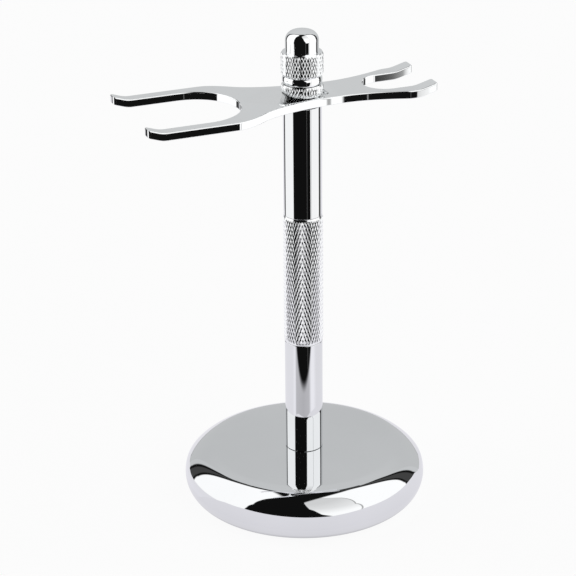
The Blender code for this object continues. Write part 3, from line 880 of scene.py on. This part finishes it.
def make_paper():
    """The white sheet that the metal sees under and around the stand; it ends in front of it. Its
    glow holds painted shadow round the foot, painted shade ahead and towards its front edge, and
    painted light at the sides.
    """
    mat, n, glow, _ = emission("paper_sheet", 1.0)
    coords = n.add("ShaderNodeTexCoord").outputs["Object"]
    parts = n.add("ShaderNodeSeparateXYZ")
    n.link(coords, parts.inputs[0])
    x, y, _ = parts.outputs
    reach = n.math("SQRT", n.math("ADD", n.math("MULTIPLY", x, x), n.math("MULTIPLY", y, y)))
    azimuth = n.math("MULTIPLY", n.math("ARCTAN2", x, n.math("MULTIPLY", y, -1.0)), 180.0 / math.pi)
    # painted contact shadow: the sheet's glow darkens close round the foot
    near = n.ramp(n.remap(reach, 0.030, 0.100, 0.0, 1.0),
                  ((0.0, (0.10, 0.10, 0.11)), (0.05, (0.40, 0.40, 0.42)),
                   (0.12, (0.78, 0.77, 0.81)), (0.30, (0.87, 0.86, 0.91)),
                   (1.0, (0.87, 0.86, 0.90))))
    # painted shade straight ahead, painted light from the panels either side
    turned = n.remap(azimuth, -180.0, 180.0, 0.0, 1.0)
    levels = ((0.30, 1.0), (0.352, 1.12), (0.375, 0.66), (0.49, 0.60),
              (0.585, 0.66), (0.62, 1.12), (0.66, 1.14), (0.72, 0.96))
    panel_light_and_shade = n.ramp(turned, [(place, (level,) * 3) for place, level in levels])
    weight = n.remap(reach, 0.045, 0.065, 0.0, 1.0, True)
    panel_light_and_shade = n.math("ADD", n.math("MULTIPLY", panel_light_and_shade, weight), n.math("SUBTRACT", 1.0, weight))
    # painted shade: the glow fades to near black towards the front edge
    front = n.remap(y, -SHEET_FRONT, -SHEET_FRONT + 0.012, 0.03, 1.0, True)
    painted_light_and_shade = n.math("MULTIPLY", panel_light_and_shade, front)
    scaled = n.add("ShaderNodeVectorMath", operation="SCALE")
    n.link(near, scaled.inputs[0])
    n.link(painted_light_and_shade, scaled.inputs["Scale"])
    n.link(scaled.outputs[0], glow.inputs["Color"])
    points = []
    for a in 2 * math.pi * np.arange(160) / 160:
        depth = CARD_DISTANCE if math.sin(a) > 0 else SHEET_SIDE
        points.append(Vector((SHEET_SIDE * math.cos(a), max(depth * math.sin(a), -SHEET_FRONT),
                              -0.2 * MM)))
    sheet = stage_mesh("paper_under_stand", points, [list(range(len(points)))], mat)
    sheet.rotation_euler = Euler((0.0, 0.0, math.radians(VIEW_AZIMUTH_DEG)))
    only_seen_by(sheet, "glossy")


def make_card():
    """A grey card standing on the paper behind the stand, seen only in the metal."""
    mat, n, glow, _ = emission("grey_card", 1.0)
    coords = n.add("ShaderNodeTexCoord").outputs["Object"]
    parts = n.add("ShaderNodeSeparateXYZ")
    n.link(coords, parts.inputs[0])
    low, middle, high = (tuple(level * tint for tint in (0.985, 1.0, 1.01))
                         for level in (CARD_FOOT_SHADE, CARD_MIDDLE, CARD_HIGH))
    height = n.remap(parts.outputs[2], 0.0, CARD_HEIGHT, 0.0, 1.0)
    # a thin darker band at the foot: painted shade where the card meets the paper
    shades = ((0.0, low), (0.008, low), (0.011, middle), (0.30, middle), (0.60, high), (1.0, high))
    n.link(n.ramp(height, shades), glow.inputs["Color"])
    verts, faces = [], []
    bearings = np.radians(np.linspace(180.0 - CARD_ENDS[1], -180.0 - CARD_ENDS[0], 47))
    for a in bearings:
        for z in (0.0, CARD_HEIGHT):
            verts.append((CARD_DISTANCE * math.sin(a), CARD_DISTANCE * math.cos(a), z))
    for i in range(len(bearings) - 1):
        faces.append((2 * i, 2 * i + 2, 2 * i + 3, 2 * i + 1))
    card = stage_mesh("card_behind_stand", verts, faces, mat)
    card.rotation_euler = Euler((0.0, 0.0, math.radians(VIEW_AZIMUTH_DEG)))
    only_seen_by(card, "glossy")


def make_kerb():
    """A low white rim close round the front of the foot, seen only in the metal."""
    mat, n, glow, _ = emission("white_kerb", 1.0)
    coords = n.add("ShaderNodeTexCoord").outputs["Object"]
    parts = n.add("ShaderNodeSeparateXYZ")
    n.link(coords, parts.inputs[0])
    height = n.remap(parts.outputs[2], 0.0, 0.014, 0.0, 1.0)
    n.link(n.ramp(height, ((0.0, (0.80, 0.79, 0.835)), (1.0, (0.85, 0.84, 0.885)))),
           glow.inputs["Color"])
    verts, faces = [], []
    bearings = np.linspace(-75.0, 105.0, 73)
    for bearing in bearings:
        height = np.interp(bearing, *zip(*KERB_HEIGHTS)) * MM
        a = math.radians(bearing)
        for z in (0.0, float(height)):
            verts.append((KERB_RADIUS * math.sin(a), -KERB_RADIUS * math.cos(a), z))
    for i in range(len(bearings) - 1):
        faces.append((2 * i, 2 * i + 2, 2 * i + 3, 2 * i + 1))
    kerb = stage_mesh("kerb_round_foot", verts, faces, mat)
    kerb.rotation_euler = Euler((0.0, 0.0, math.radians(VIEW_AZIMUTH_DEG)))
    only_seen_by(kerb, "glossy")


def make_backdrop():
    """The plain surroundings that the camera sees past the floor."""
    mat, _, _, _ = emission("pale_backdrop", 0.985)
    rows, columns, radius = 16, 32, BACKDROP_RADIUS
    verts, faces = [], []
    for i in range(rows + 1):
        e = math.pi * (i / rows - 0.5)
        for j in range(columns):
            a = 2 * math.pi * j / columns
            verts.append((radius * math.cos(e) * math.cos(a), radius * math.cos(e) * math.sin(a),
                          radius * math.sin(e)))
    for i in range(rows):
        for j in range(columns):
            k = (j + 1) % columns
            faces.append((i * columns + j, i * columns + k,
                          (i + 1) * columns + k, (i + 1) * columns + j))
    back = stage_mesh("studio_backdrop", verts, faces, mat)
    only_seen_by(back, "camera")


def make_stage():
    make_floor()
    make_paper()
    make_card()
    make_kerb()
    make_backdrop()


def make_camera():
    """A long lens in front of the stand, a little to its left and above it."""
    camera = bpy.data.cameras.new("camera")
    camera.sensor_width = 36.0
    camera.lens = CAMERA_LENS_MM
    camera.clip_start, camera.clip_end = 0.01, 30.0
    obj = bpy.data.objects.new("camera", camera)
    bpy.context.scene.collection.objects.link(obj)
    obj.location = CAMERA_PLACE
    aim = (CAMERA_AIM - CAMERA_PLACE).to_track_quat("-Z", "Y").to_matrix().to_4x4()
    roll = Matrix.Rotation(math.radians(-CAMERA_ROLL_DEG), 4, "Z")
    obj.matrix_world = Matrix.Translation(CAMERA_PLACE) @ aim @ roll
    bpy.context.scene.camera = obj


def main():
    scene = bpy.context.scene
    scene.view_settings.view_transform = "Standard"
    scene.view_settings.look = "None"
    materials = make_materials()
    make_camera()
    make_world()
    make_stage()
    make_base(materials)
    make_post("lower_post_polished", "lower_post", BASE_HIGH.z + 2 * SEAM, GRIP_LOW.z - 0.16 * MM,
              (SCREW_HOLE_RADIUS, STUD_HOLE_RADIUS), materials)
    make_post("upper_post_polished", "upper_post", GRIP_HIGH.z + 0.16 * MM, UPPER_HIGH.z,
              (STUD_HOLE_RADIUS, STUD_HOLE_RADIUS), materials)
    make_grip(materials)
    make_collar(materials)
    make_finial(materials)
    make_plate(materials)
    finish_cad_nodes(materials)


main()
